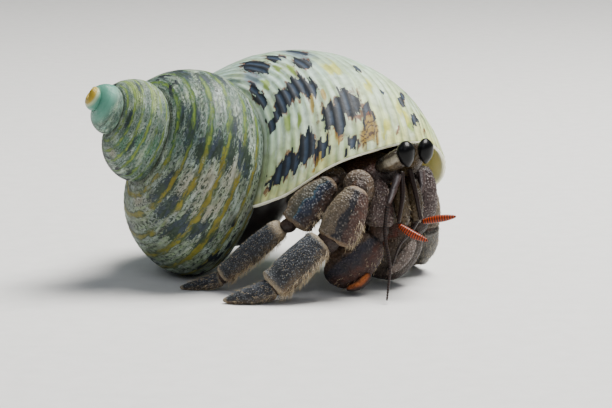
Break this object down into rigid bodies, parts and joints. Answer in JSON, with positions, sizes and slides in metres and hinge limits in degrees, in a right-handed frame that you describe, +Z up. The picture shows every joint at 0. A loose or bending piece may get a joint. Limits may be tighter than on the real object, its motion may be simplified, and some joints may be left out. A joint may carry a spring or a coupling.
{
  "type": "hermit crab in a turban shell",
  "caption": "Still, life-size land hermit crab walking in a coiled turban shell, with claws, legs, eyes and feelers.",
  "frame": {"origin": "on the floor, under the middle of the whole model", "axes": "+X from the shell's spire to the crab's face, -Y the crab's right side, +Z up"},
  "size_m": [0.0448, 0.0383, 0.0273],
  "materials": {
    "shell": "worn, striped and blotched shell, satin",
    "chitin_brown": "granular brown crust with an indigo stripe",
    "chitin_grey": "finely granular grey crust with bristles",
    "chitin_tan": "tan crust, satin",
    "chitin_orange": "translucent orange, ringed",
    "chitin_pink": "pinkish granular crust",
    "eye": "glossy black cornea",
    "soft_skin": "soft wrinkled abdomen skin"
  },
  "bodies": {
    "root": {"shell": "shell", "carapace": "chitin_brown", "thorax": "chitin_brown", "abdomen": "soft_skin", "cornea_right": "eye", "eyestalk_right": "chitin_tan", "antennule_right_club": "chitin_orange", "antennule_right_stalk": "chitin_brown", "antenna_right_base": "chitin_pink", "antenna_right_flagellum": "chitin_brown", "mouthpart_right": "chitin_tan", "claw_right_palm": "chitin_brown", "claw_right_dactyl": "chitin_orange", "claw_right_carpus": "chitin_pink", "claw_right_merus": "chitin_brown", "leg2_right_merus": "chitin_tan", "leg2_right_carpus": "chitin_brown", "leg2_right_propodus": "chitin_grey", "leg2_right_dactyl": "chitin_grey", "leg3_right_merus": "chitin_tan", "leg3_right_carpus": "chitin_brown", "leg3_right_propodus": "chitin_grey", "leg3_right_dactyl": "chitin_grey", "leg4_right": "chitin_tan", "leg5_right": "chitin_tan", "cornea_left": "eye", "eyestalk_left": "chitin_brown", "antennule_left_club": "chitin_orange", "antennule_left_stalk": "chitin_brown", "antenna_left_base": "chitin_pink", "antenna_left_flagellum": "chitin_brown", "mouthpart_left": "chitin_tan", "claw_left_palm": "chitin_brown", "claw_left_dactyl": "chitin_brown", "claw_left_carpus": "chitin_pink", "claw_left_merus": "chitin_brown", "leg2_left_merus": "chitin_brown", "leg2_left_carpus": "chitin_tan", "leg2_left_propodus": "chitin_tan", "leg2_left_dactyl": "chitin_grey", "leg3_left_merus": "chitin_brown", "leg3_left_carpus": "chitin_brown", "leg3_left_propodus": "chitin_grey", "leg3_left_dactyl": "chitin_grey", "leg4_left": "chitin_tan", "leg5_left": "chitin_tan"}
  },
  "joints": []
}
